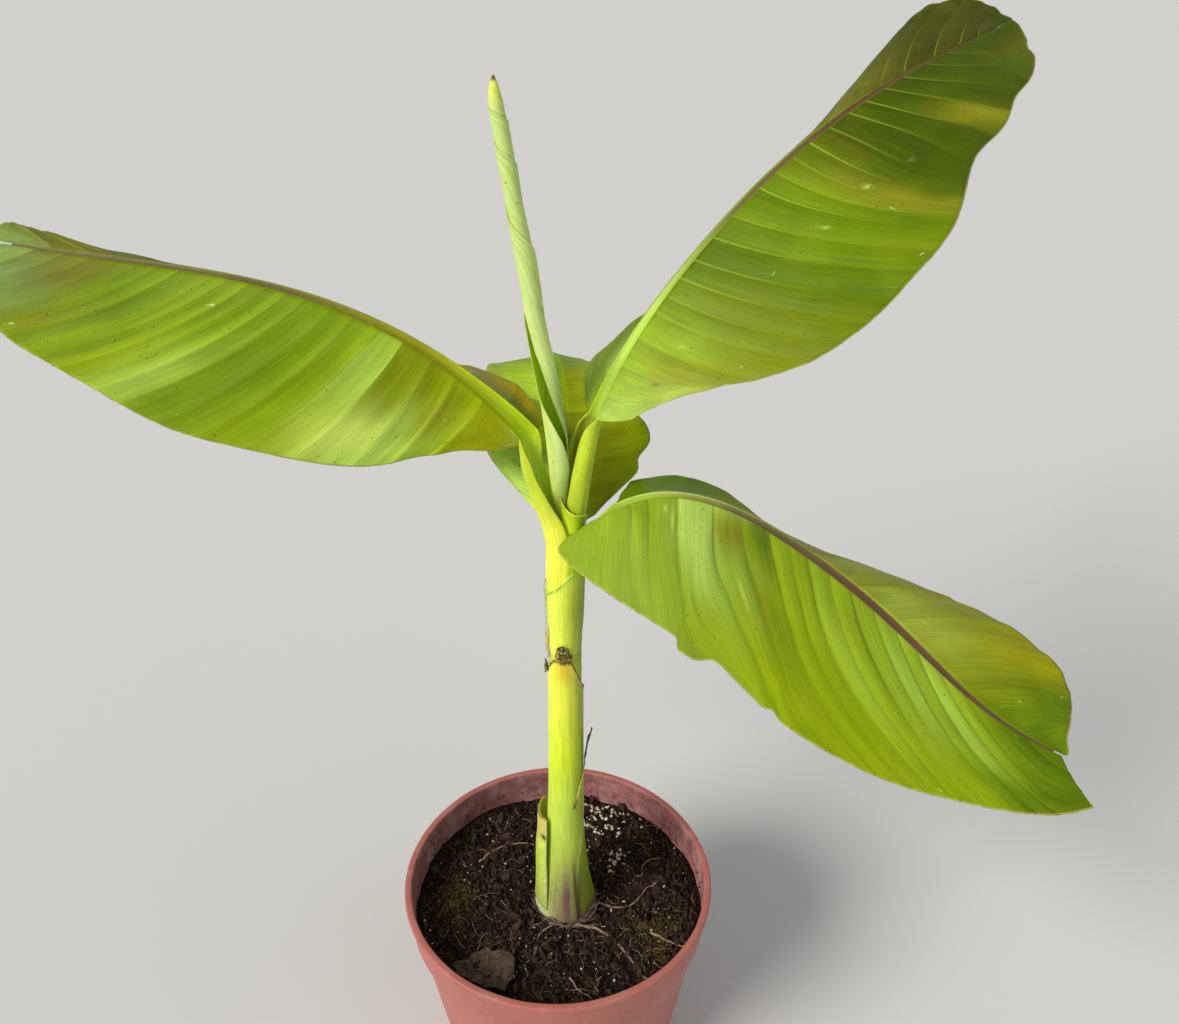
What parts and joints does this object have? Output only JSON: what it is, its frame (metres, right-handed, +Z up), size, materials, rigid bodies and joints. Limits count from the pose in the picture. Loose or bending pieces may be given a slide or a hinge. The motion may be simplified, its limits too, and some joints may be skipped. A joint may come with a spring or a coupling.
{
  "type": "potted banana plant",
  "caption": "Young banana plant in a round nursery pot, with a sheathed stem, broad arching leaves and a tall furled leaf.",
  "frame": {"origin": "middle of the flat underside of the pot", "axes": "+Z up along the stem, +X to the right and +Y away from the viewer as the plant is seen in the picture"},
  "size_m": [0.5629, 0.3038, 0.6685],
  "materials": {
    "pot_plastic": "satin terracotta plastic",
    "potting_soil": "matt crumbly soil",
    "stem_green": "smooth waxy stem",
    "sheath_green": "smooth waxy leaf sheath",
    "sheath_dry": "dry papery sheath",
    "petiole_green": "smooth waxy leaf stalk",
    "leaf_green": "satin leaf with fine veins",
    "furled_green": "pale waxy furled leaf"
  },
  "bodies": {
    "root": {"pot": "pot_plastic", "soil": "potting_soil", "stem": "stem_green", "sheath_front": "sheath_green", "sheath_dry_left": "sheath_dry", "sheath_dry_right": "sheath_dry", "petiole_left": "petiole_green", "petiole_upper": "petiole_green", "petiole_lower": "petiole_green", "petiole_back": "petiole_green", "leaf_left": "leaf_green", "leaf_upper": "leaf_green", "leaf_lower": "leaf_green", "leaf_back": "leaf_green", "leaf_furled": "furled_green"}
  },
  "joints": []
}
